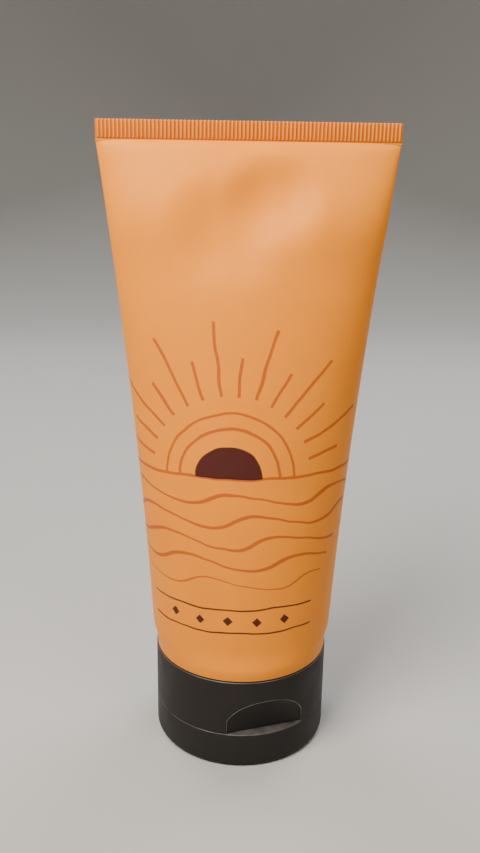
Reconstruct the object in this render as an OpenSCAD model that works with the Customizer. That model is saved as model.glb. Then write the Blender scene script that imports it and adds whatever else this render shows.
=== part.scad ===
/* [Tube] */
// Height of the whole pack, from the face it stands on to the top of the end seal
pack_h = 176; // [140:1:200]
// Outer radius of the sleeve at its round end
sleeve_r = 25; // [24.5:0.1:26]
// Wall of the sleeve
sleeve_wall = 0.5; // [0.4:0.05:0.8]
// Height of the flat end seal
seal_h = 5; // [4:0.5:9]
// Distance from one rib of the end seal to the next
rib_pitch = 1; // [0.8:0.1:2]
// Height of a rib above the flat of the seal
rib_rise = 0.22; // [0.1:0.02:0.4]
// Plain strip between the ribs and the upper edge of the seal
seal_lip = 0.2; // [0.1:0.05:1]
// Share of the sleeve's height that is filled with lotion
fill_share = 0.74; // [0.5:0.01:0.95]
// Share of the widening that is even along the sleeve, the rest gathers near the seal
widening_even = 0.69; // [0.5:0.01:1]
// How far the filled sleeve swells to the sides just above the shoulder
swell = 1; // [0:0.1:1.5]
// Length over which the swelling sets in
swell_start = 3; // [2:0.5:8]
// Length over which the swelling fades
swell_reach = 70; // [30:1:90]

/* [Head] */
// Outer radius of the neck
neck_r = 9; // [8:0.1:11]
// Wall of the neck and of the shoulder
neck_wall = 1.5; // [1.2:0.1:2]
// How far the shoulder's band, welded inside the sleeve, stands above its plate
band_h = 0.8; // [0.5:0.1:3]
// How far the shoulder slopes down from the weld band to the neck
shoulder_drop = 3; // [1:0.5:4]
// How far the snap bead stands out of the neck
bead_rise = 0.6; // [0.3:0.1:0.8]
// Height of the snap bead
bead_h = 1.6; // [1.2:0.1:2.4]

/* [Cap] */
// How far the cap's outside stands proud of the sleeve's round end
cap_proud = 0.3; // [0:0.1:1.5]
// Height of the closed lid, which is where the lid and the cap base meet
lid_h = 10.9; // [9:0.1:14]
// Height of the cap base above the lid
base_h = 16.8; // [15:0.1:22]
// Wall of the cap base and of the lid
cap_wall = 1.4; // [1.2:0.1:1.8]
// Rounding of the lid's lower outer edge
lid_round = 1.8; // [1:0.1:3]
// Rounding of the cap's upper outer edge
rim_round = 0.35; // [0.2:0.05:0.6]
// How far the cap base is turned from the front, towards the right
cap_turn = 15; // [0:1:45]

/* [Thumb recess] */
// Half of the width of the thumb recess
recess_half_w = 11.2; // [8:0.1:12]
// Height of the thumb recess above the lid
recess_h = 10.4; // [7:0.1:12]
// Depth of the thumb recess at the lid
recess_depth = 3.1; // [2.4:0.1:4]

/* [Stiffening ribs] */
// Number of ribs between the collar and the skirt
rib_count = 6; // [3:1:10]
// Thickness of such a rib
rib_t = 0.9; // [0.6:0.1:1.4]
// Height of such a rib above the deck
rib_h = 5; // [2:0.5:8]

/* [Spout] */
// Radius of the spout's bore
spout_bore_r = 2.5; // [1.5:0.1:3.2]
// Wall of the spout
spout_wall = 1.6; // [1.2:0.1:2.2]
// How far the spout stands out of the deck
spout_h = 4.6; // [3.5:0.1:6]
// How far the lid's plug reaches into the spout
plug_in = 2.6; // [1.5:0.1:3]

/* [Hinge] */
// Half of the width of the pocket that the hinge lies in
pocket_half_w = 7.6; // [7:0.1:9]
// Half of the height of that pocket
pocket_half_h = 3.2; // [2.6:0.1:4]
// Half of the width of the hinge film
film_half_w = 3.6; // [2.5:0.1:4.2]
// Thickness of the hinge film and straps
film_t = 0.4; // [0.3:0.05:0.6]
// Width of one hinge strap
strap_w = 1.8; // [1:0.1:2]

/* [Fits] */
// Radial running clearance between neck and collar
neck_fit = 0.06; // [0.02:0.01:0.1]
// Gap between the sleeve's end and the cap's rim
rim_gap = 0.35; // [0.3:0.05:1]
// Gap between the lid and the cap base
seam_gap = 0.3; // [0.2:0.05:0.5]
// Clearance around the lid's plug at the spout's mouth
plug_fit = 0.25; // [0.2:0.05:0.4]
// Clearance of the lotion from the plastic around it
fill_gap = 0.3; // [0.2:0.05:1]
// Radial gap of the weld between the shoulder and the sleeve
weld_gap = 0.1; // [0.08:0.01:0.2]
// Clearance of the snap groove around the snap bead
bead_fit = 0.1; // [0.05:0.01:0.2]

/* [Hidden] */
cap_colour = "#2f2c2d";
sleeve_colour = "#e8842c";
head_colour = "#e9e4da";
lotion_colour = "#f3ead8";
$fn = 96;
eps = 0.01;

// Heights and radii that follow from the sizes above
cap_r = sleeve_r + cap_proud;
cap_top = lid_h + base_h;
sleeve_z = cap_top + rim_gap;
seal_z = pack_h - seal_h;
inner_r = sleeve_r - sleeve_wall;
flat_half_w = PI * sleeve_r / 2;
deck_z = lid_h + seam_gap / 2;
deck_top = deck_z + cap_wall;
head_top = sleeve_z + neck_wall + band_h;
neck_gap = 1.2;
neck_end = deck_top + neck_gap;
bead_up = 3;
bead_z = neck_end + bead_up;
bead_edge = 0.3;
bead_peak = bead_h - 2 * bead_edge;
collar_wall = 1.5;
collar_r = neck_r + neck_fit;
collar_over = 2;
collar_top = bead_z + bead_h + collar_over;
spout_taper = 0.5;
// The plug narrows upwards, because its end swings back as the lid turns open
plug_taper = 0.22;
spigot_h = 1.5;
spigot_wall = 1;
spigot_r = cap_r - cap_wall - seam_gap;
lid_top = lid_h - seam_gap / 2;
skin_in = 0.2;

// Thumb recess: a lying cylinder that runs out of the wall at the recess's top
scoop_r = (recess_depth ^ 2 + recess_h ^ 2) / (2 * recess_depth);
scoop_y = cap_r - recess_depth + scoop_r;
recess_wall = 1.3;
ledge_in = 1.2;
ledge_h = 1.8;

// Hinge pocket and what lies in it
pocket_depth = 1.7;
pocket_y = cap_r - pocket_depth;
backing_t = 1.5;
backing_more = 1.5;
backing_half_w = pocket_half_w + backing_more;
foot_h = 0.9;
foot_gap = 0.1;
film_in = 0.1;
strap_gap = 0.9;

// Levels of the sleeve, closer together at both of its ends
function levels(count) = [for (i = [0 : count]) (1 - cos(180 * i / count)) / 2];
sleeve_sides = 48;
lotion_sides = 36;

// Half of the sleeve's width at a share of its height between the shoulder and the seal
function half_w(t) =
    let (up = t * (seal_z - head_top))
    sleeve_r + (flat_half_w - sleeve_r) * (widening_even * t + (1 - widening_even) * t * t)
    + swell * (1 - exp(-(up / swell_start) ^ 2)) * exp(-up / swell_reach) * (1 - t);

// Circumference of an ellipse
function girth(a, b) = PI * (3 * (a + b) - sqrt((3 * a + b) * (a + 3 * b)));

// Half of its depth: the wall can't stretch, so the girth stays that of the round end
function half_d(a, low, high, steps) =
    let (middle = (low + high) / 2)
    steps == 0 ? middle
    : girth(a, middle) > 2 * PI * sleeve_r ? half_d(a, low, middle, steps - 1)
    : half_d(a, middle, high, steps - 1);

// One ring of points at height z, as an ellipse of half width a and half depth b
function ring(a, b, z, sides) =
    [for (k = [0 : sides - 1]) [a * cos(360 * k / sides), b * sin(360 * k / sides), z]];

// Rings between the shoulder and the seal, drawn in by inset and no thinner than least
function skin(inset, least, shares, sides) =
    [for (t = shares)
        let (a = half_w(t), b = half_d(a, 0, sleeve_r, 24))
        each ring(a - inset, max(least, b - inset), head_top + t * (seal_z - head_top), sides)];

// A closed solid through rings of equal count
module lofted(points, sides) {
    rings = len(points) / sides;
    walls = [for (i = [0 : rings - 2], k = [0 : sides - 1])
        let (n = (k + 1) % sides)
        each [[i * sides + k, (i + 1) * sides + k, (i + 1) * sides + n],
              [i * sides + k, (i + 1) * sides + n, i * sides + n]]];
    low = [for (k = [0 : sides - 1]) k];
    high = [for (k = [sides - 1 : -1 : 0]) (rings - 1) * sides + k];
    polyhedron(points, concat([low], [high], walls));
}

// Turns its children with the cap, so that +Y is the hinge and -Y the thumb recess
module with_cap() {
    rotate([0, 0, cap_turn]) children();
}

module box_from(low, high) {
    translate(low) cube(high - low);
}

// The ribs of the end seal, on both faces
module seal_ribs() {
    count = floor((2 * flat_half_w - rib_pitch) / rib_pitch);
    for (i = [0 : count - 1])
        translate([(i - (count - 1) / 2) * rib_pitch, 0, seal_z + rib_pitch / 2])
            linear_extrude(seal_h - seal_lip - rib_pitch / 2)
                square([rib_pitch * 0.5, 2 * (sleeve_wall + rib_rise)], center = true);
}

module tube_sleeve() {
    outside = concat(
        ring(sleeve_r, sleeve_r, sleeve_z, sleeve_sides),
        skin(0, sleeve_wall, levels(18), sleeve_sides));
    inside = concat(
        ring(inner_r, inner_r, sleeve_z - 1, sleeve_sides),
        skin(sleeve_wall, eps, levels(12), sleeve_sides));
    color(sleeve_colour) union() {
        difference() {
            lofted(outside, sleeve_sides);
            lofted(inside, sleeve_sides);
        }
        box_from([-flat_half_w, -sleeve_wall, seal_z - eps], [flat_half_w, sleeve_wall, pack_h]);
        seal_ribs();
    }
}

module tube_head() {
    band_r = inner_r - weld_gap;
    neck_top = sleeve_z - shoulder_drop;
    color(head_colour) difference() {
        union() {
            rotate_extrude() polygon([
                [0, neck_top], [neck_r + neck_wall, neck_top], [band_r - neck_wall, sleeve_z],
                [band_r, sleeve_z], [band_r, head_top], [band_r - neck_wall, head_top],
                [band_r - neck_wall, sleeve_z + neck_wall], [neck_r, neck_top + neck_wall],
                [0, neck_top + neck_wall]]);
            translate([0, 0, neck_end]) cylinder(r = neck_r, h = neck_top + neck_wall - neck_end);
            translate([0, 0, bead_z]) rotate_extrude() polygon([
                [0, 0], [neck_r, 0], [neck_r + bead_rise, bead_peak],
                [neck_r + bead_rise, bead_h - bead_edge], [neck_r, bead_h], [0, bead_h]]);
        }
        translate([0, 0, neck_end - 1])
            cylinder(r = neck_r - neck_wall, h = neck_top + 2 * neck_wall + 2 - neck_end);
    }
}

module lotion() {
    bore_r = neck_r - neck_wall - fill_gap;
    cup_r = inner_r - weld_gap - neck_wall - fill_gap;
    cup_floor = sleeve_z + neck_wall + fill_gap;
    color(lotion_colour) union() {
        translate([0, 0, fill_gap])
            lofted(skin(sleeve_wall + fill_gap, fill_gap,
                [for (t = levels(12)) t * fill_share], lotion_sides), lotion_sides);
        rotate_extrude() polygon([
            [0, neck_end + fill_gap], [bore_r, neck_end + fill_gap],
            [bore_r, cup_floor - shoulder_drop], [neck_r, cup_floor - shoulder_drop + fill_gap],
            [cup_r, cup_floor + fill_gap], [cup_r, head_top + 1], [0, head_top + 1]]);
    }
}

// The lying cylinder of the thumb recess, grown by a wall, between its two ends
module scoop(wall) {
    intersection() {
        translate([0, -scoop_y, lid_h]) rotate([0, 90, 0])
            cylinder(r = scoop_r + wall, h = 4 * recess_half_w, center = true);
        box_from([-recess_half_w - wall, -cap_r - 1, lid_h - scoop_r],
                 [recess_half_w + wall, 0, cap_top]);
    }
}

module cap_base() {
    color(cap_colour) with_cap() difference() {
        union() {
            // Skirt with its rounded rim
            difference() {
                rotate_extrude() polygon([
                    [0, deck_z], [cap_r, deck_z], [cap_r, cap_top - rim_round],
                    [cap_r - rim_round, cap_top], [0, cap_top]]);
                translate([0, 0, deck_top]) cylinder(r = cap_r - cap_wall, h = base_h);
            }
            // Wall behind the thumb recess
            intersection() {
                scoop(recess_wall);
                translate([0, 0, deck_z])
                    cylinder(r = cap_r - skin_in, h = recess_h + recess_wall);
            }
            // Wall behind the hinge pocket
            intersection() {
                box_from([-backing_half_w, pocket_y - backing_t, deck_z],
                         [backing_half_w, cap_r, lid_h + pocket_half_h + backing_more]);
                translate([0, 0, deck_z]) cylinder(r = cap_r - skin_in, h = base_h);
            }
            // Ribs between the collar and the skirt
            for (k = [0 : rib_count - 1])
                rotate([0, 0, 360 * (k + 0.5) / rib_count])
                    box_from([-rib_t / 2, collar_r + collar_wall / 2, deck_z],
                             [rib_t / 2, cap_r - cap_wall / 2, deck_top + rib_h]);
            // Collar that snaps over the neck
            translate([0, 0, deck_z]) cylinder(r = collar_r + collar_wall, h = collar_top - deck_z);
            // Ring that centres the lid
            translate([0, 0, deck_z - spigot_h]) difference() {
                cylinder(r = spigot_r, h = spigot_h + eps);
                translate([0, 0, -1]) cylinder(r = spigot_r - spigot_wall, h = spigot_h + 2);
                box_from([-recess_half_w - recess_wall, -cap_r, -1],
                         [recess_half_w + recess_wall, 0, spigot_h + 1]);
                box_from([-backing_half_w - seam_gap, 0, -1],
                         [backing_half_w + seam_gap, cap_r, spigot_h + 1]);
            }
            // Spout
            translate([0, 0, deck_z - spout_h])
                cylinder(r1 = spout_bore_r + spout_wall - spout_taper,
                         r2 = spout_bore_r + spout_wall, h = spout_h + eps);
        }
        translate([0, 0, deck_top]) cylinder(r = collar_r, h = base_h);
        translate([0, 0, bead_z]) rotate_extrude() polygon([
            [0, -3 * bead_fit], [collar_r, -3 * bead_fit],
            [neck_r + bead_rise + bead_fit, bead_peak - 3 * bead_fit],
            [neck_r + bead_rise + bead_fit, bead_h + bead_fit],
            [collar_r, bead_h + bead_rise], [0, bead_h + bead_rise]]);
        translate([0, 0, deck_z - spout_h - 1]) cylinder(r = spout_bore_r, h = spout_h + base_h);
        scoop(0);
        box_from([-pocket_half_w, pocket_y, lid_h - pocket_half_h],
                 [pocket_half_w, cap_r + 1, lid_h + pocket_half_h]);
    }
}

module flip_lid() {
    plug_r = spout_bore_r - plug_fit;
    spout_end = deck_z - spout_h;
    color(cap_colour) with_cap() difference() {
        union() {
            difference() {
                rotate_extrude() {
                    square([cap_r - lid_round, lid_top]);
                    translate([0, lid_round]) square([cap_r, lid_top - lid_round]);
                    translate([cap_r - lid_round, lid_round]) circle(r = lid_round);
                }
                translate([0, 0, cap_wall]) cylinder(r = cap_r - cap_wall, h = lid_h);
            }
            // Ledge that the thumb pushes, seen in the recess
            intersection() {
                box_from([-recess_half_w, -cap_r, lid_top - ledge_h],
                         [recess_half_w, -cap_r + recess_depth + ledge_in, lid_top]);
                cylinder(r = cap_r - skin_in, h = lid_top);
            }
            // Wall behind the hinge pocket
            intersection() {
                box_from([-backing_half_w, pocket_y - backing_t,
                          lid_h - pocket_half_h - backing_more],
                         [backing_half_w, cap_r, lid_top]);
                cylinder(r = cap_r - skin_in, h = lid_top);
            }
            // Plug that closes the spout
            cylinder(r = plug_r, h = spout_end);
            translate([0, 0, spout_end - eps])
                cylinder(r1 = plug_r, r2 = plug_r - plug_taper * plug_in, h = plug_in);
        }
        box_from([-pocket_half_w, pocket_y, lid_h - pocket_half_h],
                 [pocket_half_w, cap_r + 1, lid_h + pocket_half_h]);
    }
}

// A band across the seam, within the cap's outline, with a foot on the cap base and one on the lid
module hinge_band(low_x, high_x) {
    reach = pocket_half_h - foot_gap;
    band_y = sqrt(cap_r ^ 2 - high_x ^ 2) - film_in - film_t;
    box_from([low_x, band_y, lid_h - reach], [high_x, band_y + film_t, lid_h + reach]);
    for (side = [-1, 1])
        translate([0, 0, lid_h + side * (reach - foot_h / 2)])
            box_from([low_x, pocket_y, -foot_h / 2], [high_x, band_y + eps, foot_h / 2]);
}

module hinge_film() {
    color(cap_colour) with_cap() hinge_band(-film_half_w, film_half_w);
}

module hinge_straps() {
    color(cap_colour) with_cap() for (side = [0, 1]) mirror([side, 0, 0])
        hinge_band(film_half_w + strap_gap, film_half_w + strap_gap + strap_w);
}

tube_sleeve();
tube_head();
lotion();
cap_base();
hinge_film();
hinge_straps();
flip_lid();
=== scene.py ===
import math

import bmesh
import bpy
import numpy as np
from mathutils import Matrix, Vector


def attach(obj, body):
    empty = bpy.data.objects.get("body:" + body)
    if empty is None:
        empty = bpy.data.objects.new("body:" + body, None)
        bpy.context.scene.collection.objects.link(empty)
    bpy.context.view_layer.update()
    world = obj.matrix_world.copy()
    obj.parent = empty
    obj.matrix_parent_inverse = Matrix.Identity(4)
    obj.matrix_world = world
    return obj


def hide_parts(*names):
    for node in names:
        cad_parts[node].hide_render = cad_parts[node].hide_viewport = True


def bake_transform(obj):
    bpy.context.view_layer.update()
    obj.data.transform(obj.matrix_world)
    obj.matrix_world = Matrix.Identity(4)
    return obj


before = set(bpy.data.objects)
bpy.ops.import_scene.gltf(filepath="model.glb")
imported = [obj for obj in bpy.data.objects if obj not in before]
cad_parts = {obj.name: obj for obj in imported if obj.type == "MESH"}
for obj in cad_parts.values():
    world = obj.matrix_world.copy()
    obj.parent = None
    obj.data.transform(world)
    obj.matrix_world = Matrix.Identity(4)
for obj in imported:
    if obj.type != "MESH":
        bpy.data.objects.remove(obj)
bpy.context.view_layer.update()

bl_info = {
    "name": "Squeeze tube with flip-top cap",
    "version": (1, 0, 0),
    "blender": (4, 5, 0),
    "location": "View3D > Sidebar > Squeeze tube",
    "description": "Models a lotion tube with a ribbed end seal that stands on its flip-top cap",
    "category": "Object",
}

MM = 0.001
SLIVER_MM = 0.004       # Vertices closer than this are one, where a cut left them behind
SUNK_MM = 0.02          # How far a piece of wall ends below the face it joins, so that no two faces coincide
SLEEVE_POINTS = 160     # Points around the sleeve
SLEEVE_LEVELS = 72      # Rows of points up the sleeve, closer together at both of its ends
CLOSING_MM = 2          # Height over which the walls of the sleeve close on the seal

# Where the front of the sleeve bulges or gives way: middle across, half width, height and reach in millimetres, and
# the push as a share of the dent. Air fills out two lobes above the filling, and the front sinks in between them
LOBES = (
    (-25, 5, 152, 16, -0.9),
    (26, 7, 152, 16, -1.3),
    (6, 3, 157, 12, 2.3),
    (-6, 3, 149, 15, 1.9),
)


def linear(hex_colour):
    """An sRGB hex value as the linear colour that shaders take."""
    parts = [int(hex_colour[i:i + 2], 16) / 255 for i in (1, 3, 5)]
    return [c / 12.92 if c <= 0.04045 else ((c + 0.055) / 1.055) ** 2.4 for c in parts] + [1.0]


def length(name, description, default_mm):
    """A property that holds a length, given in millimetres and kept in metres."""
    return bpy.props.FloatProperty(
        name=name, description=description, default=default_mm * MM, unit="LENGTH", precision=5)


def colour(name, description, hex_colour):
    """A property that holds a colour, given as an sRGB hex value."""
    return bpy.props.FloatVectorProperty(
        name=name, description=description, default=linear(hex_colour), size=4,
        subtype="COLOR", min=0.0, max=1.0)


# Sizes and colours

class TubeSizes(bpy.types.PropertyGroup):
    """Sizes of the sleeve, its end seal and the head inside it."""
    height: length("Height", "From the table to the upper edge of the seal", 176)
    radius: length("Radius", "Outer radius of the sleeve's round end", 25)
    wall: length("Wall", "Wall of the sleeve", 0.5)
    round_end: length("Round end", "Height at which the sleeve starts", 27.95)
    shoulder: length("Shoulder", "Height up to which the sleeve stays round", 30.35)
    seal: length("Seal", "Height of the flat end seal", 5)
    rib_pitch: length("Rib pitch", "Distance from one rib of the seal to the next", 1)
    rib_rise: length("Rib rise", "Height of a rib above the flat of the seal", 0.22)
    swell: length("Swell", "How far the filled sleeve swells above the shoulder", 1)
    swell_start: length("Swell start", "Length over which the swelling sets in", 3)
    swell_reach: length("Swell reach", "Length over which the swelling fades", 70)
    even_share: bpy.props.FloatProperty(
        name="Even share", description="Share of the widening that is even along the sleeve",
        default=0.69, min=0.0, max=1.0)
    dent: length("Dent", "How far the front gives way above the filling", 1.2)


class CapSizes(bpy.types.PropertyGroup):
    """Sizes of the cap base, its thumb recess and the flip lid."""
    radius: length("Radius", "Outer radius of the cap", 25.3)
    wall: length("Wall", "Wall of the cap base and of the lid", 1.4)
    seam: length("Seam", "Height at which the lid and the cap base meet", 10.9)
    seam_gap: length("Seam gap", "Gap between the lid and the cap base", 0.3)
    top: length("Top", "Height of the cap's rim", 27.7)
    rim_round: length("Rim rounding", "Rounding of the cap's upper outer edge", 0.35)
    lid_round: length("Lid rounding", "Rounding of the lid's lower outer edge", 1.8)
    recess_half_w: length("Recess half width", "Half of the width of the thumb recess", 11.2)
    recess_h: length("Recess height", "Height of the thumb recess above the seam", 10.4)
    recess_depth: length("Recess depth", "Depth of the thumb recess at the seam", 3.1)
    turn: bpy.props.FloatProperty(
        name="Turn", description="How far the cap is turned from the front",
        default=math.radians(15), subtype="ANGLE", unit="ROTATION")


class HingeSizes(bpy.types.PropertyGroup):
    """Sizes of the hinge film, the straps and the pocket they lie in."""
    pocket_half_w: length("Pocket half width", "Half of the width of the hinge pocket", 7.6)
    pocket_half_h: length("Pocket half height", "Half of the height of the hinge pocket", 3.2)
    pocket_depth: length("Pocket depth", "Depth of the hinge pocket", 1.7)
    film_half_w: length("Film half width", "Half of the width of the hinge film", 3.6)
    thickness: length("Thickness", "Thickness of the film and the straps", 0.4)
    inset: length("Inset", "How far the bands lie within the cap's outline", 0.1)
    strap_gap: length("Strap gap", "Gap between the film and a strap", 0.9)
    strap_w: length("Strap width", "Width of one strap", 1.8)


class Finish(bpy.types.PropertyGroup):
    """Colours of the plastics, the printed lines, the painted shade and highlights, and the stage."""
    sleeve: colour("Sleeve", "Orange polyethylene of the sleeve", "#F48D15")
    # The seal's groove colour is painted shade between its ribs, and its crest colour is a painted highlight on them
    seal_groove_painted_shade: colour("Seal groove", "Pressed seal between its ribs", "#CA6708")
    seal_crest_painted_highlight: colour("Seal crest", "Pressed seal on the crests of its ribs", "#F0891E")
    line: colour("Printed lines", "Terracotta ink", "#B9531C")
    accent: colour("Accent", "Plum ink", "#32101F")
    cap: colour("Cap", "Charcoal polypropylene of the cap", "#282523")
    # Painted highlight on the cap's rim, the lid's upper edge and the top of the thumb ledge
    painted_edge_highlight: colour("Rubbed edge", "Edges of the cap that handling has polished", "#57504B")
    # Painted highlight, the palest, along the outline of the thumb recess
    pale_painted_highlight: colour("Worn edge", "Edge of the thumb recess, worn palest", "#958D86")
    head: colour("Head", "Natural polyethylene of the head", "#EDE8DD")
    lotion: colour("Lotion", "Lotion inside the tube", "#F6EEDD")
    floor: colour("Floor", "Plain pale floor", "#B0ADA7")


GROUPS = {"tube_sizes": TubeSizes, "cap_sizes": CapSizes, "hinge_sizes": HingeSizes, "finish": Finish}


# Modelling by hand: small helpers around the edit mode

def clear_selection():
    """Leaves edit mode and deselects everything, the frame's nodes included."""
    if bpy.context.object and bpy.context.object.mode != "OBJECT":
        bpy.ops.object.mode_set(mode="OBJECT")
    bpy.ops.object.select_all(action="DESELECT")


def activate(piece):
    """Selects one piece alone and makes it active."""
    clear_selection()
    piece.select_set(True)
    bpy.context.view_layer.objects.active = piece


def named(name):
    """Names the active object and its mesh, and applies its place to the mesh."""
    piece = bpy.context.object
    piece.name = piece.data.name = name
    bpy.ops.object.transform_apply(location=True, rotation=True, scale=True)
    return piece


def edit(piece, kind="VERT"):
    """Opens a piece in edit mode with nothing selected."""
    activate(piece)
    bpy.ops.object.mode_set(mode="EDIT")
    bpy.ops.mesh.select_mode(type=kind)
    bpy.ops.mesh.select_all(action="DESELECT")


def pick(test, kind="VERT"):
    """Selects the vertices, edges or faces of the edited mesh whose middle, in millimetres, passes the test.

    A selection that comes out empty means that a step before it failed, so it stops the run.
    """
    mesh = bpy.context.object.data
    bm = bmesh.from_edit_mesh(mesh)
    for group in (bm.verts, bm.edges, bm.faces):
        for element in group:
            element.select = False
    if kind == "VERT":
        chosen = [v for v in bm.verts if test(v.co / MM, v)]
    elif kind == "EDGE":
        chosen = [e for e in bm.edges if test((e.verts[0].co + e.verts[1].co) / 2 / MM, e)]
    else:
        chosen = [f for f in bm.faces if test(f.calc_center_median() / MM, f)]
    if not chosen:
        raise RuntimeError("Nothing to select on %s" % mesh.name)
    for element in chosen:
        element.select_set(True)
    bm.select_flush_mode()
    bmesh.update_edit_mesh(mesh)


def leave_edit():
    """Closes edit mode."""
    bpy.ops.object.mode_set(mode="OBJECT")


def tidy_mesh(piece):
    """Merges doubles and turns all faces outwards."""
    edit(piece)
    bpy.ops.mesh.select_all(action="SELECT")
    bpy.ops.mesh.remove_doubles(threshold=0.001 * MM)
    bpy.ops.mesh.normals_make_consistent(inside=False)
    leave_edit()


def apply_modifier(piece, kind, **settings):
    """Adds a modifier to a piece and applies it."""
    activate(piece)
    bpy.ops.object.modifier_add(type=kind)
    modifier = piece.modifiers[-1]
    for key, value in settings.items():
        setattr(modifier, key, value)
    bpy.ops.object.modifier_apply(modifier=modifier.name)


def cut(piece, tool, operation="DIFFERENCE"):
    """Cuts a piece with a tool, or joins or crosses them, and deletes the tool."""
    apply_modifier(piece, "BOOLEAN", object=tool, operation=operation, solver="EXACT")
    bpy.data.objects.remove(tool, do_unlink=True)
    if not piece.data.polygons:
        raise RuntimeError("Nothing is left of %s" % piece.name)


def clean_cuts(piece):
    """Clears away the slivers that cuts leave behind."""
    edit(piece)
    bpy.ops.mesh.select_all(action="SELECT")
    bpy.ops.mesh.remove_doubles(threshold=SLIVER_MM * MM)
    bpy.ops.mesh.dissolve_degenerate(threshold=SLIVER_MM * MM)
    bpy.ops.mesh.delete_loose(use_verts=True, use_edges=True, use_faces=False)
    leave_edit()


def merge_into(piece, *others):
    """Joins other objects into a piece as further shells of its mesh."""
    activate(piece)
    for other in others:
        other.select_set(True)
    bpy.ops.object.join()


def smooth(piece, angle):
    """Shades a piece smooth, with edges sharper than the angle kept crisp."""
    activate(piece)
    bpy.ops.object.shade_smooth_by_angle(angle=math.radians(angle))


def lathe(name, profile, steps=192):
    """A turned shape: the closed profile of (radius, height) in millimetres is spun about the Z axis."""
    clear_selection()
    bpy.ops.mesh.primitive_circle_add(vertices=len(profile), radius=MM, fill_type="NOTHING")
    piece = named(name)
    for vertex, (r, z) in zip(piece.data.vertices, profile):
        vertex.co = (r * MM, 0, z * MM)
    edit(piece)
    bpy.ops.mesh.select_all(action="SELECT")
    bpy.ops.mesh.spin(steps=steps, angle=2 * math.pi, center=(0, 0, 0), axis=(0, 0, 1))
    leave_edit()
    tidy_mesh(piece)
    return piece


def block(name, low, high):
    """A block between two corners in millimetres."""
    clear_selection()
    middle = [(a + b) / 2 * MM for a, b in zip(low, high)]
    bpy.ops.mesh.primitive_cube_add(size=1, location=middle)
    bpy.context.object.scale = [(b - a) * MM for a, b in zip(low, high)]
    return named(name)


def rod(name, radius, low, high, axis="Z", centre=(0, 0), vertices=192):
    """A rod along one axis between two places in millimetres."""
    clear_selection()
    middle = (low + high) / 2
    place = {"Z": (centre[0], centre[1], middle), "X": (middle, centre[0], centre[1])}[axis]
    bpy.ops.mesh.primitive_cylinder_add(
        vertices=vertices, radius=radius * MM, depth=(high - low) * MM,
        location=[c * MM for c in place],
        rotation=(0, math.pi / 2, 0) if axis == "X" else (0, 0, 0))
    return named(name)


def arc(centre_r, centre_z, radius, start, end, count=6):
    """Points of a rounded corner in a profile, from one angle to another in degrees."""
    return [(centre_r + radius * math.cos(math.radians(start + (end - start) * i / count)),
             centre_z + radius * math.sin(math.radians(start + (end - start) * i / count)))
            for i in range(count + 1)]


def turn_with_cap(piece):
    """Turns a piece that was modelled with the recess at the front to where the cap stands."""
    activate(piece)
    piece.rotation_euler = (0, 0, bpy.context.scene.cap_sizes.turn)
    bpy.ops.object.transform_apply(location=True, rotation=True, scale=True)


def coat(piece, *finishes):
    """Gives a piece its finishes, the first of them all over."""
    for make in finishes:
        piece.data.materials.append(material_of(make))


def coat_faces(piece, slot, test):
    """Gives another of its finishes to the faces that pass the test."""
    edit(piece, "FACE")
    pick(test, "FACE")
    piece.active_material_index = slot
    bpy.ops.object.material_slot_assign()
    leave_edit()


def show(piece, body, slot, *nodes):
    """Gives a finished piece its body and hides the frame nodes it stands for; the record slot is not used. A blended
    piece has no body.
    """
    if body:
        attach(piece, body)
    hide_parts(*nodes)


# Materials

# Settings of the arithmetic nodes and of the node that mixes two colours
ADD, SUBTRACT, MULTIPLY, MULTIPLY_ADD, MAXIMUM, ABSOLUTE, PINGPONG, LESS_THAN, GREATER_THAN = (
    {"operation": name} for name in ("ADD", "SUBTRACT", "MULTIPLY", "MULTIPLY_ADD", "MAXIMUM", "ABSOLUTE",
                                     "PINGPONG", "LESS_THAN", "GREATER_THAN"))
COLOURS = {"data_type": "RGBA"}


def add(tree, kind, settings, *inputs, **named_inputs):
    """Adds a node with its settings and its inputs.

    Inputs come in the order in which the node shows them, or by name. Each is a value, or a socket to link, or a
    node, which stands for the first output that it shows.
    """
    node = tree.nodes.new("ShaderNode" + kind)
    for key, value in settings.items():
        setattr(node, key, value)
    shown = [socket for socket in node.inputs if socket.enabled]
    given = [*zip(shown, inputs), *((node.inputs[key], value) for key, value in named_inputs.items())]
    for socket, value in given:
        if isinstance(value, bpy.types.Node):
            value = next(output for output in value.outputs if output.enabled)
        if isinstance(value, bpy.types.NodeSocket):
            tree.links.new(value, socket)
        else:
            socket.default_value = value
    return node


def across(size_mm):
    """The scale of a pattern whose spots are this wide, in millimetres."""
    return 1 / (size_mm * MM)


def toned(plain, factor):
    """A colour made lighter or darker."""
    return [min(1, c * factor) for c in plain[:3]] + [1]


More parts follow.
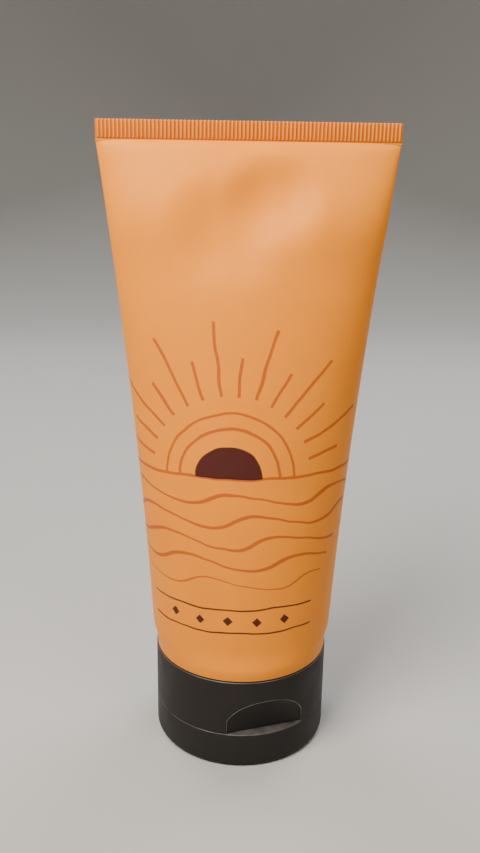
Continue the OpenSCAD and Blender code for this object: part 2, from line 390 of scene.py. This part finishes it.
def satin_polyethylene_orange(tree, place, finish):
    """Extruded LDPE sleeve with a satin lacquer: a soft wide highlight and a faint waxy depth."""
    # Pigment that isn't quite even, in clouds
    clouds = add(tree, "TexNoise", {}, Vector=place, Scale=across(14.29), Detail=3.0)
    plain = add(tree, "Mix", COLOURS, clouds, toned(finish.sleeve, 0.92), toned(finish.sleeve, 1.10))
    # Painted shade between the ribs of the end seal, and a painted highlight on their crests
    split = add(tree, "SeparateXYZ", {}, place)
    off_middle = add(tree, "Math", ABSOLUTE, split.outputs["Y"])
    crest = add(tree, "MapRange", {}, off_middle, 0.45 * MM, 0.70 * MM)
    painted_rib_shading = add(tree, "Mix", COLOURS, crest, finish.seal_groove_painted_shade, finish.seal_crest_painted_highlight)
    sizes = finish.id_data.tube_sizes
    in_seal = add(tree, "Math", GREATER_THAN, split.outputs["Z"], sizes.height - sizes.seal + 0.05 * MM)
    base = add(tree, "Mix", COLOURS, in_seal, printed_lines(tree, plain, finish), painted_rib_shading)
    # Handling marks make the satin a little shinier or duller
    marks = add(tree, "TexNoise", {}, Vector=place, Scale=across(3.03), Detail=4.0)
    rough = add(tree, "MapRange", {}, marks, 0.3, 0.7, 0.40, 0.50)
    # Lacquer flow, drawn at 1.25 mm so that it shows, over a film grain of 0.25 mm
    flow = add(tree, "TexNoise", {}, Vector=place, Scale=across(1.25), Detail=2.0)
    flow_bump = add(tree, "Bump", {}, Strength=0.12, Distance=0.06 * MM, Height=flow)
    grain = add(tree, "TexNoise", {}, Vector=place, Scale=across(0.25), Detail=1.0)
    bump = add(tree, "Bump", {}, Strength=0.10, Distance=0.02 * MM, Height=grain, Normal=flow_bump)
    return {"Base Color": base, "Roughness": rough, "Normal": bump, "IOR": 1.51, "Specular IOR Level": 0.14,
            "Subsurface Weight": 0.12, "Subsurface Radius": (1.0, 0.45, 0.2), "Subsurface Scale": 1.5 * MM}


def printed_lines(tree, plain, finish):
    """Screen-printed half sun over waves on the front, laid out around the girth and up the height."""
    around_and_up = add(tree, "UVMap", {"uv_map": "print"})
    # In millimetres, with the tremble of a hand-drawn line: 0.4 mm over about 9 mm
    tremble = add(tree, "TexNoise", {}, Vector=around_and_up, Scale=across(9.09), Detail=1.5).outputs["Color"]
    in_mm = add(tree, "VectorMath", MULTIPLY, around_and_up, (1000, 1000, 0))
    drawn = add(tree, "SeparateXYZ", {}, add(tree, "VectorMath", MULTIPLY_ADD, tremble, (1.6, 1.6, 0), in_mm))
    u = add(tree, "Math", ADD, drawn.outputs["X"], 4.2)
    v = add(tree, "Math", SUBTRACT, drawn.outputs["Y"], 0.8)
    aside = add(tree, "Math", ABSOLUTE, u)

    def ink(value, limit=0.0):
        """Ink where a value is below a limit, with an edge 0.2 mm soft."""
        return add(tree, "MapRange", {}, value, limit + 0.1, limit - 0.1)

    def all_of(first, *others):
        """Ink where each of these has ink."""
        for other in others:
            first = add(tree, "Math", MULTIPLY, first, other)
        return first

    def any_of(first, *others):
        """Ink where one of these has ink."""
        for other in others:
            first = add(tree, "Math", MAXIMUM, first, other)
        return first

    def off(value, middle):
        """How far a value is from a middle."""
        return add(tree, "Math", ABSOLUTE, add(tree, "Math", SUBTRACT, value, middle))

    # A half sun that stands on the horizon
    horizon, bold, fine = 86.0, 0.42, 0.34
    up = add(tree, "Math", SUBTRACT, v, horizon)
    squares = [add(tree, "Math", MULTIPLY, side, side) for side in (u, up)]
    far = add(tree, "Math", {"operation": "SQRT"}, add(tree, "Math", ADD, *squares))
    above = ink(add(tree, "Math", MULTIPLY, up, -1.0))
    rings = any_of(ink(off(far, 13.5), bold), ink(off(far, 17.5), fine))
    # Its rays, 12 degrees apart, from 22 mm out to 41 and 32 mm by turns
    step = math.radians(12)
    count = add(tree, "Math", {"operation": "DIVIDE"}, add(tree, "Math", {"operation": "ARCTAN2"}, up, u), step)
    nearest = add(tree, "Math", {"operation": "ROUND"}, count)
    off_ray = add(tree, "Math", MULTIPLY, off(count, nearest), add(tree, "Math", MULTIPLY, far, step))
    odd = add(tree, "Math", PINGPONG, nearest, 1.0)
    reach = add(tree, "Math", MULTIPLY_ADD, odd, -9.0, 41.0)
    rays = all_of(ink(off_ray, bold), ink(add(tree, "Math", SUBTRACT, 22.0, far)),
                  ink(add(tree, "Math", SUBTRACT, far, reach)))
    sun = all_of(above, any_of(rings, rays))
    # Waves below it, 6 mm apart, that end in a slant at both sides
    phase = add(tree, "Math", ADD, add(tree, "Math", MULTIPLY, u, 2 * math.pi / 31),
                add(tree, "Math", MULTIPLY, v, 0.21))
    crest = add(tree, "Math", MULTIPLY_ADD, add(tree, "Math", {"operation": "SINE"}, phase), 1.7, v)
    off_wave = add(tree, "Math", PINGPONG, add(tree, "Math", SUBTRACT, crest, 2.0), 3.0)
    slant = add(tree, "Math", MULTIPLY_ADD, add(tree, "Math", SUBTRACT, horizon, v), -0.55, 44.0)
    waves = all_of(ink(off_wave, 0.40), ink(add(tree, "Math", SUBTRACT, aside, slant)),
                   ink(add(tree, "Math", SUBTRACT, crest, horizon - 1.0)),
                   ink(add(tree, "Math", SUBTRACT, 56.0, crest)))
    shore = all_of(ink(add(tree, "Math", ABSOLUTE, up), bold), ink(aside, 46.0))
    lines = add(tree, "Math", MULTIPLY, any_of(sun, waves, shore), 0.92)
    inked = add(tree, "Mix", COLOURS, lines, plain, finish.line)
    # Plum: the sun's core, and a row of lozenges between two thin rules
    core = all_of(above, ink(far, 9.0))
    level = off(v, 45.5)
    rules = all_of(ink(off(level, 3.4), 0.24), ink(aside, 25.0))
    row = add(tree, "Math", PINGPONG, u, 4.0)
    lozenges = all_of(ink(add(tree, "Math", ADD, row, level), 1.35), ink(aside, 21.0))
    plum = add(tree, "Math", MULTIPLY, any_of(core, rules, lozenges), 0.95)
    return add(tree, "Mix", COLOURS, plum, inked, finish.accent)


def moulded_polypropylene_charcoal(tree, place, finish):
    """Charcoal PP from a spark-eroded mould: a matte skin with a fine even grain."""
    clouds = add(tree, "TexNoise", {}, Vector=place, Scale=across(6.25), Detail=4.0)
    plain = add(tree, "Mix", COLOURS, clouds, toned(finish.cap, 0.86), toned(finish.cap, 1.18))
    # Dust and scuffs: sparse pale specks about 0.2 mm wide
    specks = add(tree, "TexVoronoi", {}, Vector=place, Scale=across(1.111))
    few = add(tree, "TexNoise", {}, Vector=place, Scale=across(3.85), Detail=1.0)
    dust = add(tree, "Math", MULTIPLY, add(tree, "Math", LESS_THAN, specks, 0.10),
               add(tree, "Math", GREATER_THAN, few, 0.62))
    half_dust = add(tree, "Math", MULTIPLY, dust, 0.5)
    base = add(tree, "Mix", COLOURS, half_dust, plain, toned(finish.cap, 3.2))
    rough = add(tree, "MapRange", {}, clouds, 0.3, 0.7, 0.44, 0.56)
    # Spark-erosion grain
    grain = add(tree, "TexNoise", {}, Vector=place, Scale=across(0.2), Detail=2.0)
    bump = add(tree, "Bump", {}, Strength=0.25, Distance=0.04 * MM, Height=grain)
    return {"Base Color": base, "Roughness": rough, "Normal": bump, "IOR": 1.49, "Specular IOR Level": 0.13}


def polypropylene_with_painted_edge_highlight(tree, place, finish):
    """The same PP with a painted highlight on its edges: paler, smoother and a little glossy."""
    return charcoal_with_painted_highlight(tree, place, finish, finish.painted_edge_highlight)


def polypropylene_with_painted_recess_highlight(tree, place, finish):
    """The same PP on the outline of the thumb recess, with the palest painted highlight."""
    return charcoal_with_painted_highlight(tree, place, finish, finish.pale_painted_highlight)


def charcoal_with_painted_highlight(tree, place, finish, pale):
    """Charcoal PP with a painted highlight that is paler in patches about 4 mm long."""
    patches = add(tree, "TexNoise", {}, Vector=place, Scale=across(4), Detail=3.0)
    pale_painted_highlight = add(tree, "MapRange", {}, patches, 0.3, 0.65)
    base = add(tree, "Mix", COLOURS, pale_painted_highlight, toned(finish.cap, 1.5), pale)
    rough = add(tree, "MapRange", {}, pale_painted_highlight, 0.0, 1.0, 0.46, 0.34)
    return {"Base Color": base, "Roughness": rough, "IOR": 1.49}


def natural_polyethylene_milky(tree, place, finish):
    """Uncoloured HDPE of the head: milky, waxy and slightly see-through at its edges."""
    clouds = add(tree, "TexNoise", {}, Vector=place, Scale=across(8.33), Detail=3.0)
    base = add(tree, "Mix", COLOURS, clouds, toned(finish.head, 0.94), finish.head)
    rough = add(tree, "MapRange", {}, clouds, 0.0, 1.0, 0.34, 0.46)
    return {"Base Color": base, "Roughness": rough, "IOR": 1.54,
            "Subsurface Weight": 0.3, "Subsurface Scale": 2 * MM}


def creamy_lotion(tree, place, finish):
    """Thick white emulsion: glossy and smooth, with soft light inside."""
    swirls = add(tree, "TexNoise", {}, Vector=place, Scale=across(16.67), Detail=2.0, Distortion=1.5)
    base = add(tree, "Mix", COLOURS, swirls, toned(finish.lotion, 0.96), finish.lotion)
    rough = add(tree, "MapRange", {}, swirls, 0.0, 1.0, 0.15, 0.25)
    return {"Base Color": base, "Roughness": rough, "IOR": 1.42,
            "Subsurface Weight": 0.5, "Subsurface Scale": 3 * MM}


def matte_studio_board(tree, place, finish):
    """Plain pale studio board: matte, with a tone that is barely uneven."""
    tone = add(tree, "TexNoise", {}, Vector=place, Scale=across(40), Detail=3.0)
    base = add(tree, "Mix", COLOURS, tone, toned(finish.floor, 0.97), finish.floor)
    return {"Base Color": base, "Roughness": 0.85}


MADE = {}


def material_of(make):
    """A finish as a material, made once and shared by the pieces that have it."""
    name = make.__name__
    if name not in MADE:
        MADE[name] = bpy.data.materials.new(name)
        MADE[name].use_nodes = True
        tree = MADE[name].node_tree
        tree.nodes.clear()
        place = add(tree, "TexCoord", {}).outputs["Object"]
        shader = add(tree, "BsdfPrincipled", {}, **make(tree, place, bpy.context.scene.finish))
        add(tree, "OutputMaterial", {}, shader)
    return MADE[name]


# The shape of the filled sleeve

def girth(a, b):
    """Circumference of an ellipse."""
    return math.pi * (3 * (a + b) - math.sqrt((3 * a + b) * (a + 3 * b)))


def sleeve_section(s, share):
    """Half width and half depth of the sleeve at a share of its height between shoulder and seal."""
    flat = math.pi * s.radius / 2
    up = share * (s.height - s.seal - s.shoulder)
    widening = s.even_share * share + (1 - s.even_share) * share * share
    bulge = s.swell * (1 - math.exp(-(up / s.swell_start) ** 2)) * math.exp(-up / s.swell_reach)
    a = s.radius + (flat - s.radius) * widening + bulge * (1 - share)
    low, high = 0.0, s.radius
    for _ in range(30):
        b = (low + high) / 2
        low, high = (low, b) if girth(a, b) > 2 * math.pi * s.radius else (b, high)
    return a, max(s.wall, b)


def lay_print_map(piece, s):
    """A UV map in metres: around the girth from the front's middle, and up from the table."""
    mesh = piece.data
    points = np.empty(len(mesh.vertices) * 3)
    mesh.vertices.foreach_get("co", points)
    x, y, z = points.reshape(-1, 3).T
    shares = np.linspace(0, 1, 200)
    sections = np.array([sleeve_section(s, share) for share in shares])
    share = np.clip((z - s.shoulder) / (s.height - s.seal - s.shoulder), 0, 1)
    a, b = np.interp(share, shares, sections[:, 0]), np.interp(share, shares, sections[:, 1])
    angle = np.arctan2(x / a, -y / b)
    # The way around the ellipse, summed over short steps from the front's middle
    count = 48
    steps = (np.arange(count) + 0.5)[:, None] / count * angle
    around = np.hypot(a * np.cos(steps), b * np.sin(steps)).mean(axis=0) * angle
    layer = mesh.uv_layers.new(name="print")
    for face in mesh.polygons:
        # A face at the back's middle, where both ways around meet, keeps to one of them
        behind = max(y[v] for v in face.vertices) > 0 and max(abs(around[v]) for v in face.vertices) > 40 * MM
        middle = sum(around[v] for v in face.vertices)
        for corner, v in zip(face.loop_indices, face.vertices):
            u = around[v]
            if behind and u * middle < 0:
                u = -u
            layer.data[corner].uv = (u, z[v])


class TUBE_OT_sleeve(bpy.types.Operator):
    """Model the sleeve with its ribbed end seal"""
    bl_idname = "tube.sleeve"
    bl_label = "Tube sleeve"

    def execute(self, context):
        s = context.scene.tube_sizes
        clear_selection()
        bpy.ops.mesh.primitive_circle_add(
            vertices=SLEEVE_POINTS, radius=s.radius, location=(0, 0, s.round_end), fill_type="NOTHING")
        sleeve = named("sleeve")
        edit(sleeve, "EDGE")
        bpy.ops.mesh.select_all(action="SELECT")
        a, b, z = s.radius, s.radius, s.round_end
        foot = s.height - s.seal
        gape = sleeve_section(s, 1)[1] - s.wall
        for i in range(SLEEVE_LEVELS):
            share = (1 - math.cos(math.pi * i / (SLEEVE_LEVELS - 1))) / 2
            wide, deep = sleeve_section(s, share)
            level = s.shoulder + share * (foot - s.shoulder)
            # The walls close on the flat of the seal
            deep -= gape * max(0, 1 - (foot - level) / (CLOSING_MM * MM)) ** 2
            bpy.ops.mesh.extrude_edges_move(TRANSFORM_OT_translate={"value": (0, 0, level - z)})
            bpy.ops.transform.resize(value=(wide / a, deep / b, 1), center_override=(0, 0, level))
            a, b, z = wide, deep, level
        leave_edit()
        tidy_mesh(sleeve)
        edit(sleeve)
        for x, half_x, z, reach, push in LOBES:
            pick(lambda p, v: p.y < 0 and abs(p.x - x) < half_x and abs(p.z - z) < 1.6)
            bpy.ops.transform.translate(
                value=(0, push * s.dent, 0), use_proportional_edit=True, use_proportional_connected=True,
                proportional_edit_falloff="SMOOTH", proportional_size=reach * MM)
        leave_edit()
        apply_modifier(sleeve, "SOLIDIFY", thickness=s.wall * 0.9, offset=-1.0)
        # The cut end is lightly rounded
        edit(sleeve, "EDGE")
        end = s.round_end / MM
        pick(lambda p, e: abs(p.z - end) < 0.01 and abs(e.verts[0].co.z - e.verts[1].co.z) < 1e-6
             and math.hypot(p.x, p.y) > (s.radius / MM - 0.1), "EDGE")
        bpy.ops.mesh.bevel(offset=0.15 * MM, segments=3)
        leave_edit()
        merge_into(sleeve, *self.seal(s))
        smooth(sleeve, 40)
        lay_print_map(sleeve, s)
        coat(sleeve, satin_polyethylene_orange)
        show(sleeve, "tube", "sleeve_plastic", "tube_sleeve")
        return {"FINISHED"}

    def seal(self, s):
        """The flat of the seal and the ribs on both of its faces."""
        half = math.pi * s.radius / 2 / MM
        wall, top = s.wall / MM, s.height / MM
        foot = top - s.seal / MM
        # The flat is thinner than the two walls, and reaches into the sleeve below it
        thin = wall - 0.12
        flat = block("seal_flat", (-half, -thin, foot - 0.35), (half, thin, top - 0.15))
        edit(flat, "EDGE")
        pick(lambda p, e: abs(e.verts[0].co.y - e.verts[1].co.y) < 1e-6 and p.z > foot, "EDGE")
        bpy.ops.mesh.bevel(offset=0.2 * MM, segments=3)
        leave_edit()
        pitch, rise = s.rib_pitch / MM, s.rib_rise / MM
        count = int(2 * half / pitch)
        first = -(count - 1) / 2 * pitch
        rib_r = 0.31 * pitch
        out = wall + rise - rib_r
        rib = rod("seal_ribs", rib_r, foot + 0.35, top, vertices=12)
        edit(rib, "EDGE")
        pick(lambda p, e: abs(e.verts[0].co.z - e.verts[1].co.z) < 1e-6, "EDGE")
        bpy.ops.mesh.bevel(offset=0.26 * pitch * MM, segments=3)
        leave_edit()
        rib.location = (first * MM, -out * MM, 0)
        activate(rib)
        bpy.ops.object.transform_apply(location=True)
        apply_modifier(rib, "ARRAY", count=count, use_relative_offset=False,
                       use_constant_offset=True, constant_offset_displace=(s.rib_pitch, 0, 0))
        apply_modifier(rib, "ARRAY", count=2, use_relative_offset=False, use_constant_offset=True,
                       constant_offset_displace=(0, 2 * out * MM, 0))
        return flat, rib


class TUBE_OT_inside(bpy.types.Operator):
    """Give the head and the lotion inside the sleeve their materials"""
    bl_idname = "tube.inside"
    bl_label = "Head and lotion"

    def execute(self, context):
        for node, make in (("tube_head", natural_polyethylene_milky), ("lotion", creamy_lotion)):
            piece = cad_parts[node]
            piece.data.materials.clear()
            piece.data.materials.append(material_of(make))
        return {"FINISHED"}


def hinge_pocket(h, c):
    """The block that clears the hinge pocket out of the cap."""
    seam, deep = c.seam / MM, (c.radius - h.pocket_depth) / MM
    return block("pocket", (-h.pocket_half_w / MM, deep, seam - h.pocket_half_h / MM),
                 (h.pocket_half_w / MM, c.radius / MM + 1, seam + h.pocket_half_h / MM))


def pocket_backing(h, c, low, high):
    """The wall behind the hinge pocket, within the cap's outline."""
    half = h.pocket_half_w / MM + 1.5
    deep = (c.radius - h.pocket_depth) / MM
    backing = block("backing", (-half, deep - 1.5, low), (half, c.radius / MM, high))
    cut(backing, rod("outline", c.radius / MM - 0.2, low - 1, high + 1), "INTERSECT")
    return backing


class TUBE_OT_cap_base(bpy.types.Operator):
    """Model the cap base with its thumb recess, deck, collar and spout"""
    bl_idname = "tube.cap_base"
    bl_label = "Cap base"

    def execute(self, context):
        c, h = context.scene.cap_sizes, context.scene.hinge_sizes
        r, wall, seam, gap, top = (v / MM for v in (c.radius, c.wall, c.seam, c.seam_gap, c.top))
        low = seam + gap / 2
        deck = low + wall
        lip, rim = 0.1, c.rim_round / MM
        # The collar grips the neck, and the spout ends in a round nose below the deck
        collar_r, bore_r, collar_top = 10.56, 9.06, 20.25
        spout_r, hole_r, spout_end, nose = 4.1, 2.5, low - 4.6, 0.3
        profile = (
            [(r - 0.06, low - lip), (r, low - lip + 0.06)]
            + [(r, low + 0.5 + 2.5 * i) for i in range(6)]
            + arc(r - rim, top - rim, rim, 0, 90)
            + [(r - wall, top), (r - wall, deck), (collar_r, deck), (collar_r, collar_top), (bore_r, collar_top),
               (bore_r, deck), (hole_r, deck), (hole_r, spout_end + 0.2), (hole_r + 0.2, spout_end)]
            + arc(3.6 - nose, spout_end + nose, nose, -90, 0, 5)
            + [(spout_r, low - lip)])
        base = lathe("cap_base_shell", profile, 256)
        depth, rise = c.recess_depth / MM, c.recess_h / MM
        scoop_r = (depth ** 2 + rise ** 2) / (2 * depth)
        scoop_y = -(r - depth + scoop_r)
        half = c.recess_half_w / MM
        # Wall behind the recess
        behind = rod("recess_wall", scoop_r + 1.3, -half - 1.3, half + 1.3, "X", (scoop_y, seam), 256)
        cut(behind, rod("outline", r - 0.2, low + SUNK_MM, low + rise + 1.3, vertices=256), "INTERSECT")
        cut(base, behind, "UNION")
        cut(base, pocket_backing(h, c, low + SUNK_MM, seam + h.pocket_half_h / MM + 1.5), "UNION")
        cut(base, rod("scoop", scoop_r, -half, half, "X", (scoop_y, seam), 256))
        cut(base, hinge_pocket(h, c))
        clean_cuts(base)
        # The second and third finishes are painted highlights on the cap's edges
        coat(base, moulded_polypropylene_charcoal, polypropylene_with_painted_edge_highlight, polypropylene_with_painted_recess_highlight)

        def outline(p, element):
            """Whether a place lies on the outline of the recess in the skirt."""
            on_skirt = abs(math.hypot(p.x, p.y) - r) < 0.03
            on_arch = abs(math.hypot(p.y - scoop_y, p.z - seam) - scoop_r) < 0.03 and abs(p.x) < half + 0.01
            on_side = abs(abs(p.x) - half) < 0.01 and p.z < seam + rise / 2 and p.y < 0
            return on_skirt and (on_arch or on_side)

        # The outline is evened out, and then rounded, and the rounding gets the palest painted highlight
        edit(base)
        pick(outline)
        bpy.ops.mesh.remove_doubles(threshold=0.3 * MM)
        leave_edit()
        edit(base, "EDGE")
        pick(outline, "EDGE")
        bpy.ops.mesh.bevel(offset=0.24 * MM, segments=3, material=2, clamp_overlap=True)
        leave_edit()
        clean_cuts(base)
        # Painted highlight on the rounding of the rim
        coat_faces(base, 1, lambda p, f: p.z > top - 0.6 * rim and math.hypot(p.x, p.y) > r - 0.6 * rim)
        # Ring that centres the lid, open at the recess and at the hinge
        ring_in, ring_out, ring_end, slant = 22.6, 23.6, low - 1.5, 0.2
        ring = lathe("spigot", [
            (ring_in, low + 0.2), (ring_in, ring_end + slant), (ring_in + slant, ring_end),
            (ring_out - slant, ring_end), (ring_out, ring_end + slant), (ring_out, low + 0.2)])
        cut(ring, block("at_recess", (-half - 1.3, -r, low - 3), (half + 1.3, 0, low + 3)))
        cut(ring, block("at_hinge", (-9.4, 0, low - 3), (9.4, r, low + 3)))
        # Ribs between the collar and the skirt
        ribs = []
        for k in range(6):
            rib = block("rib", (-0.45, 10, low + 0.5), (0.45, r - wall / 2, deck + 5))
            rib.rotation_euler = (0, 0, math.radians(60 * (k + 0.5)))
            activate(rib)
            bpy.ops.object.transform_apply(rotation=True)
            ribs.append(rib)
        for part in (ring, *ribs):
            coat(part, moulded_polypropylene_charcoal)
        merge_into(base, ring, *ribs)
        base.name = base.data.name = "cap_body"
        turn_with_cap(base)
        smooth(base, 21)
        show(base, "cap", "cap_plastic", "cap_base")
        return {"FINISHED"}


class TUBE_OT_lid(bpy.types.Operator):
    """Model the flip lid with its thumb ledge and plug"""
    bl_idname = "tube.lid"
    bl_label = "Flip lid"

    def execute(self, context):
        c, h = context.scene.cap_sizes, context.scene.hinge_sizes
        r, wall, seam, gap = (v / MM for v in (c.radius, c.wall, c.seam, c.seam_gap))
        top = seam - gap / 2
        edge, foot = 0.3, c.lid_round / MM
        plug_r, tip_r, plug_end = 2.25, 1.4, 9.05
        # The stub of the moulding gate stands in a dimple of the flat face
        gate = [(0.0, 0.15), (0.4, 0.15), (0.5, 0.4), (2.1, 0.4), (2.4, 0.0)]
        profile = (
            gate + [(v, 0.0) for v in (6, 12, 18, 22)]
            + arc(r - foot, foot, foot, -90, 0, 10)
            + [(r, 4.5), (r, 7.5)]
            + arc(r - edge, top - edge, edge, 0, 90)
            + [(r - wall + 0.1, top), (r - wall, top - 0.1), (r - wall, wall + 0.5), (r - wall - 0.5, wall),
               (plug_r + 0.5, wall), (plug_r, wall + 0.5), (plug_r, 6.45), (tip_r + 0.28, plug_end - 0.35),
               (tip_r, plug_end), (0.0, plug_end)])
        lid = lathe("lid", profile, 256)
        half, depth = c.recess_half_w / MM, c.recess_depth / MM
        deep = -r + depth + 1.2
        ledge = block("ledge", (-half, -r, top - 1.8), (half, deep, top - SUNK_MM))
        cut(ledge, rod("outline", r - 0.6, 0, seam), "INTERSECT")
        cut(lid, ledge, "UNION")
        cut(lid, pocket_backing(h, c, seam - h.pocket_half_h / MM - 1.5, top - SUNK_MM), "UNION")
        cut(lid, hinge_pocket(h, c))
        clean_cuts(lid)
        coat(lid, moulded_polypropylene_charcoal, polypropylene_with_painted_edge_highlight)
        # Painted highlight on the lid's upper edge and on the top of the thumb ledge
        coat_faces(lid, 1, lambda p, f: p.z > top - 0.6 * edge and math.hypot(p.x, p.y) > r - edge)
        coat_faces(lid, 1, lambda p, f: p.z > top - 0.25 and p.y < deep + 0.3 and abs(p.x) < half)
        turn_with_cap(lid)
        smooth(lid, 21)
        show(lid, "lid", "cap_plastic", "flip_lid")
        return {"FINISHED"}


class TUBE_OT_hinge(bpy.types.Operator):
    """Model the hinge film and the two straps"""
    bl_idname = "tube.hinge"
    bl_label = "Hinge"

    def execute(self, context):
        c, h = context.scene.cap_sizes, context.scene.hinge_sizes
        film, strap_in = h.film_half_w / MM, (h.film_half_w + h.strap_gap) / MM
        strap_out = strap_in + h.strap_w / MM
        self.finish_band(c, self.band(c, h, "film", -film, film), "hinge_film")
        left = self.band(c, h, "straps", -strap_out, -strap_in)
        right = self.band(c, h, "strap_right", strap_in, strap_out)
        merge_into(left, right)
        self.finish_band(c, left, "hinge_straps")
        return {"FINISHED"}

    def band(self, c, h, name, low_x, high_x):
        """One band across the seam, thinned at its middle and with a foot at each end."""
        r, t = c.radius / MM, h.thickness / MM
        out = math.sqrt(r ** 2 - max(abs(low_x), abs(high_x)) ** 2) - h.inset / MM
        seam, reach = c.seam / MM, h.pocket_half_h / MM - 0.1
        band = block(name, (low_x, out - t, seam - reach), (high_x, out, seam + reach))
        edit(band, "EDGE")
        pick(lambda p, e: abs(e.verts[0].co.z - e.verts[1].co.z) > 1e-5, "EDGE")
        bpy.ops.mesh.subdivide(number_cuts=15)
        pick(lambda p, e: abs(p.z - seam) < 0.6)
        bpy.ops.transform.resize(value=(1, 0.6, 1), center_override=(0, (out - t / 2) * MM, seam * MM))
        foot = r - h.pocket_depth / MM
        pick(lambda p, f: f.normal.y < -0.9 and abs(abs(p.z - seam) - reach) < 0.9, "FACE")
        bpy.ops.mesh.extrude_region_move(TRANSFORM_OT_translate={"value": (0, (foot - out + t) * MM, 0)})
        leave_edit()
        tidy_mesh(band)
        return band

    def finish_band(self, c, band, node):
        """Turns and coats a band."""
        turn_with_cap(band)
        smooth(band, 40)
        coat(band, moulded_polypropylene_charcoal)
        show(band, None, "cap_plastic", node)
        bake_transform(band)


class TUBE_OT_stage(bpy.types.Operator):
    """Set up the floor, the soft light and the camera"""
    bl_idname = "tube.stage"
    bl_label = "Stage"

    def execute(self, context):
        scene = context.scene
        clear_selection()
        # A round sweep: the floor curves up into a wall, so no view meets a horizon
        floor_r, sweep_r, wall_top = 0.6, 0.4, 1.3
        r, z = floor_r, 0.0
        bpy.ops.mesh.primitive_circle_add(vertices=96, radius=r, fill_type="TRIFAN")
        floor = named("floor")
        edit(floor, "EDGE")
        pick(lambda p, e: e.is_boundary, "EDGE")
        for wide, high in arc(floor_r, sweep_r, sweep_r, -90, 0, 14)[1:] + [(floor_r + sweep_r, wall_top)]:
            bpy.ops.mesh.extrude_edges_move(TRANSFORM_OT_translate={"value": (0, 0, high - z)})
            bpy.ops.transform.resize(value=(wide / r, wide / r, 1), center_override=(0, 0, high))
            r, z = wide, high
        leave_edit()
        smooth(floor, 40)
        coat(floor, matte_studio_board)
        world = bpy.data.worlds.new("studio")
        scene.world = world
        world.use_nodes = True
        background = world.node_tree.nodes["Background"]
        background.inputs[0].default_value = linear("#C9CBCB")
        background.inputs[1].default_value = 0.15
        warm, cool = "#FFFAF4", "#F6F9FF"
        self.light("window_left", (-0.17, -0.20, 0.43), (0, 0, 0.16), 0.22, 3.7, warm)
        self.light("window_right", (0.16, -0.22, 0.42), (0, 0, 0.17), 0.18, 0.55, warm)
        self.light("back_right", (0.36, 0.42, 0.48), (0, 0, 0.12), 0.4, 3.6, cool)
        self.light("back_left", (-0.32, 0.46, 0.48), (0, 0, 0.12), 0.4, 3.0, cool)
        self.camera(scene)
        return {"FINISHED"}

    def light(self, name, place, target, size, power, hex_colour):
        """One square soft light that faces a point, with its size in metres and its power in watts."""
        clear_selection()
        bpy.ops.object.light_add(type="AREA", location=place)
        lamp = bpy.context.object
        lamp.name = name
        lamp.data.size, lamp.data.energy = size, power
        lamp.data.color = linear(hex_colour)[:3]
        lamp.rotation_euler = (Vector(target) - Vector(place)).to_track_quat("-Z", "Y").to_euler()

    def camera(self, scene):
        """The camera stands where the photograph was taken from, as fitted to its outlines."""
        clear_selection()
        bpy.ops.object.camera_add(location=(-0.014054, -0.244939, 0.173280))
        eye = bpy.context.object
        eye.name = "camera"
        pitch, yaw, roll = math.radians(17.824), math.radians(2.976), math.radians(0.95)
        ahead = Vector((math.sin(yaw) * math.cos(pitch), math.cos(yaw) * math.cos(pitch), -math.sin(pitch)))
        right = ahead.cross(Vector((0, 0, 1))).normalized()
        up = right.cross(ahead)
        right, up = (math.cos(roll) * right + math.sin(roll) * up, -math.sin(roll) * right + math.cos(roll) * up)
        turn = Matrix((right, up, -ahead)).transposed()
        eye.matrix_world = Matrix.Translation(eye.location) @ turn.to_4x4()
        eye.data.sensor_width, eye.data.lens = 36, 38.684
        eye.data.clip_start, eye.data.clip_end = 0.01, 50
        scene.camera = eye


class TUBE_PT_pieces(bpy.types.Panel):
    """Lists the sizes, the colours and the steps of the tube"""
    bl_idname = "TUBE_PT_pieces"
    bl_label = "Squeeze tube"
    bl_space_type = "VIEW_3D"
    bl_region_type = "UI"
    bl_category = "Squeeze tube"

    def draw(self, context):
        for step in STEPS:
            self.layout.operator(step.bl_idname)
        for key, group in GROUPS.items():
            box = self.layout.box()
            for name in group.__annotations__:
                box.prop(getattr(context.scene, key), name)


STEPS = (TUBE_OT_stage, TUBE_OT_sleeve, TUBE_OT_inside, TUBE_OT_cap_base, TUBE_OT_lid, TUBE_OT_hinge)
CLASSES = (*GROUPS.values(), *STEPS, TUBE_PT_pieces)


def register():
    for cls in CLASSES:
        bpy.utils.register_class(cls)
    for key, group in GROUPS.items():
        setattr(bpy.types.Scene, key, bpy.props.PointerProperty(type=group))


def unregister():
    for key in GROUPS:
        delattr(bpy.types.Scene, key)
    for cls in reversed(CLASSES):
        bpy.utils.unregister_class(cls)


def main():
    register()
    bpy.ops.tube.stage()
    bpy.ops.tube.sleeve()
    bpy.ops.tube.inside()
    bpy.ops.tube.cap_base()
    bpy.ops.tube.lid()
    bpy.ops.tube.hinge()


if __name__ == "__main__":
    main()
